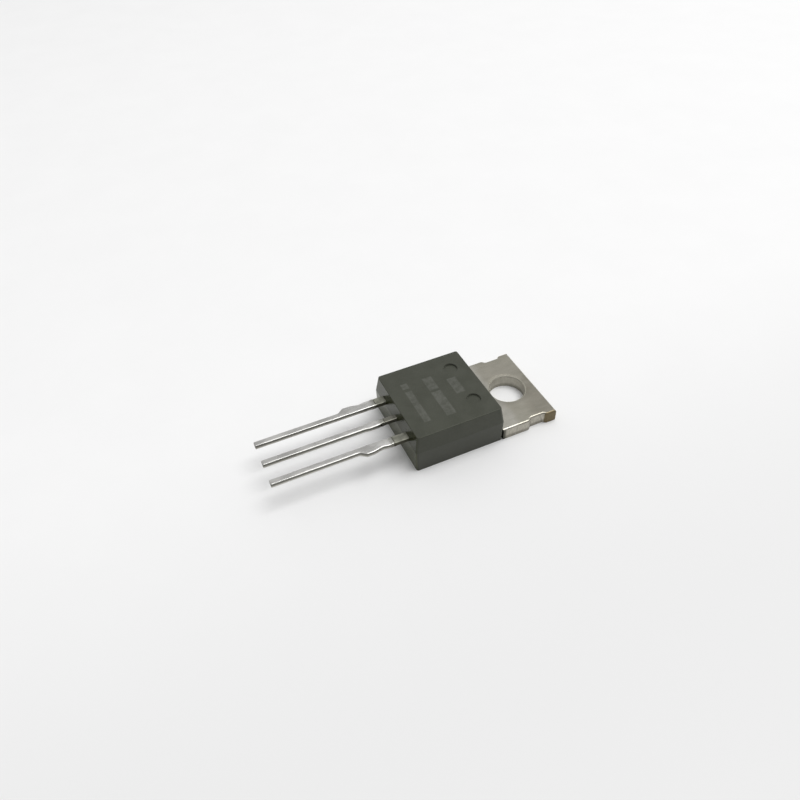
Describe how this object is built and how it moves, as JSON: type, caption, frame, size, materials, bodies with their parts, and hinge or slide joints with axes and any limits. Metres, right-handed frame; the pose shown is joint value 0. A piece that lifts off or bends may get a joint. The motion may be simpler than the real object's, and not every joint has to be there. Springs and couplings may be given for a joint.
{
  "type": "power transistor",
  "caption": "Power transistor: moulded plastic body on a metal tab with a screw hole, and flat tinned leads in a row.",
  "frame": {"origin": "centre of the mounting hole, on the flat back face", "axes": "+X from the leads to the free end of the tab; +Z out of the front face of the body, along the mounting hole; the base lead is on the +Y side"},
  "size_m": [0.029, 0.0098, 0.0043],
  "materials": {
    "moulding": "fine moulded satin, very dark grey",
    "plated_strip": "dull plated copper strip, warm grey, tinned on the lead",
    "tinned_lead": "dip-tinned, bright along the edges",
    "silicon": "polished dark grey",
    "solder": "dull solder",
    "bond_wire": "drawn aluminium wire"
  },
  "bodies": {
    "root": {"moulded_body": "moulding", "tab_with_collector_lead": "plated_strip", "base_lead": "tinned_lead", "emitter_lead": "tinned_lead", "chip": "silicon", "chip_solder": "solder", "base_bond_wire": "bond_wire", "emitter_bond_wire": "bond_wire"}
  },
  "joints": []
}
